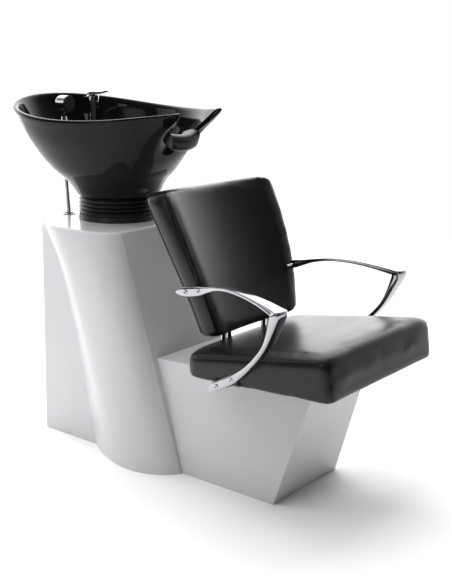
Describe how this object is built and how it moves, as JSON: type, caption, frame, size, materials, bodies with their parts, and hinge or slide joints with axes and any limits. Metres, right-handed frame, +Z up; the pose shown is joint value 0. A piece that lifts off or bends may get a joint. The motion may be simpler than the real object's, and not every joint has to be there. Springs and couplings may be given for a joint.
{
  "type": "shampoo backwash unit",
  "caption": "Salon backwash unit: upholstered seat and curved backrest with armrests on a moulded base, with a tilting glazed wash bowl, mixer tap and hand shower on the tower behind.",
  "frame": {"origin": "middle of the footprint, on the floor", "axes": "+Z up; +Y along the unit, from the front of the seat towards the bowl; +X across it, completing a right-handed frame"},
  "size_m": [0.608, 1.2517, 1.0329],
  "materials": {
    "gelcoat": "cool near-white gloss gelcoat on moulded fibreglass",
    "zinc_steel": "zinc-plated fasteners and laser-cut brackets",
    "frame_steel": "black powder-coated welded steel tube",
    "plywood": "raw birch plywood with a visible edge grain",
    "black_vinyl": "semi-gloss black vinyl with a fine grain, over foam",
    "polished_chrome": "mirror-polished chrome plate",
    "polished_aluminium": "polished cast aluminium",
    "black_rubber": "satin black rubber",
    "black_plastic": "fine-textured black plastic",
    "grey_hose": "grey reinforced hose",
    "bright_brass": "machined brass",
    "black_glaze": "deep black high-gloss glaze on a china bowl",
    "strainer_steel": "pressed stainless steel",
    "index_red": "moulded temperature mark, red beside blue"
  },
  "bodies": {
    "base": {"base_shell": "gelcoat", "rear_panel": "gelcoat", "panel_screws": "zinc_steel", "tower_frame": "frame_steel", "seat_frame": "frame_steel", "seat_rails": "plywood", "seat_bolts": "zinc_steel", "seat_board": "plywood", "seat_tnuts": "zinc_steel", "seat_cushion": "black_vinyl", "post_sleeves": "polished_chrome", "back_studs": "zinc_steel", "stud_nuts": "zinc_steel", "back_frame": "plywood", "back_cushion": "black_vinyl", "armrest_left": "polished_aluminium", "armrest_right": "polished_aluminium", "arm_screws": "polished_chrome", "arm_brackets": "frame_steel", "bracket_screws": "zinc_steel", "tilt_base": "zinc_steel", "tilt_base_bolts": "zinc_steel", "tilt_base_nuts": "zinc_steel", "tilt_pins": "zinc_steel", "tilt_pin_nuts": "zinc_steel", "friction_washers": "black_rubber", "bellows_ring": "black_plastic", "bellows": "black_rubber", "waste_hose": "grey_hose", "hot_hose": "grey_hose", "cold_hose": "grey_hose", "shower_hose": "polished_chrome", "inlet_nuts": "bright_brass", "hose_clip": "black_plastic", "waste_outlet": "black_plastic", "waste_clip": "black_plastic", "hose_grommets": "polished_chrome"},
    "basin": {"tilt_carrier": "zinc_steel", "carrier_bolts": "zinc_steel", "foot_plugs": "black_rubber", "basin_bowl": "black_glaze", "neck_rest": "black_rubber", "waste_flange": "polished_chrome", "waste_gasket": "black_rubber", "waste_nut": "bright_brass", "mixer_body": "polished_chrome", "mixer_nut": "bright_brass", "mixer_gasket": "black_rubber", "shower_holder": "polished_chrome", "holder_nut": "bright_brass"},
    "tap_cap": {"mixer_cap": "polished_chrome", "mixer_index": "index_red", "mixer_pin": "polished_chrome"},
    "tap_lever": {"mixer_lever": "polished_chrome"},
    "shower": {"hand_shower": "polished_chrome", "shower_face": "black_plastic", "hose_tail": "polished_chrome"},
    "strainer": {"hair_strainer": "strainer_steel"}
  },
  "joints": [
    {"name": "bowl_tilt", "type": "hinge", "parent": "base", "child": "basin", "pos_m": [0, 0.3, 0.706], "axis": [1, 0, 0], "range_deg": [-6, 12], "deforming": ["bellows", "waste_hose", "hot_hose", "cold_hose", "shower_hose"]},
    {"name": "tap_swivel", "type": "hinge", "parent": "basin", "child": "tap_cap", "pos_m": [0.056, 0.458, 0.998], "axis": [0, 0, 1], "range_deg": [-50, 50]},
    {"name": "tap_lift", "type": "hinge", "parent": "tap_cap", "child": "tap_lever", "pos_m": [0.056, 0.458, 1.0204], "axis": [-1, 0, 0], "range_deg": [0, 22]},
    {"name": "shower_lift", "type": "slide", "parent": "basin", "child": "shower", "axis": [0, 0, 1], "range_m": [0, 0.08]},
    {"name": "strainer_lift", "type": "slide", "parent": "basin", "child": "strainer", "axis": [0, 0, 1], "range_m": [0, 0.06]}
  ]
}
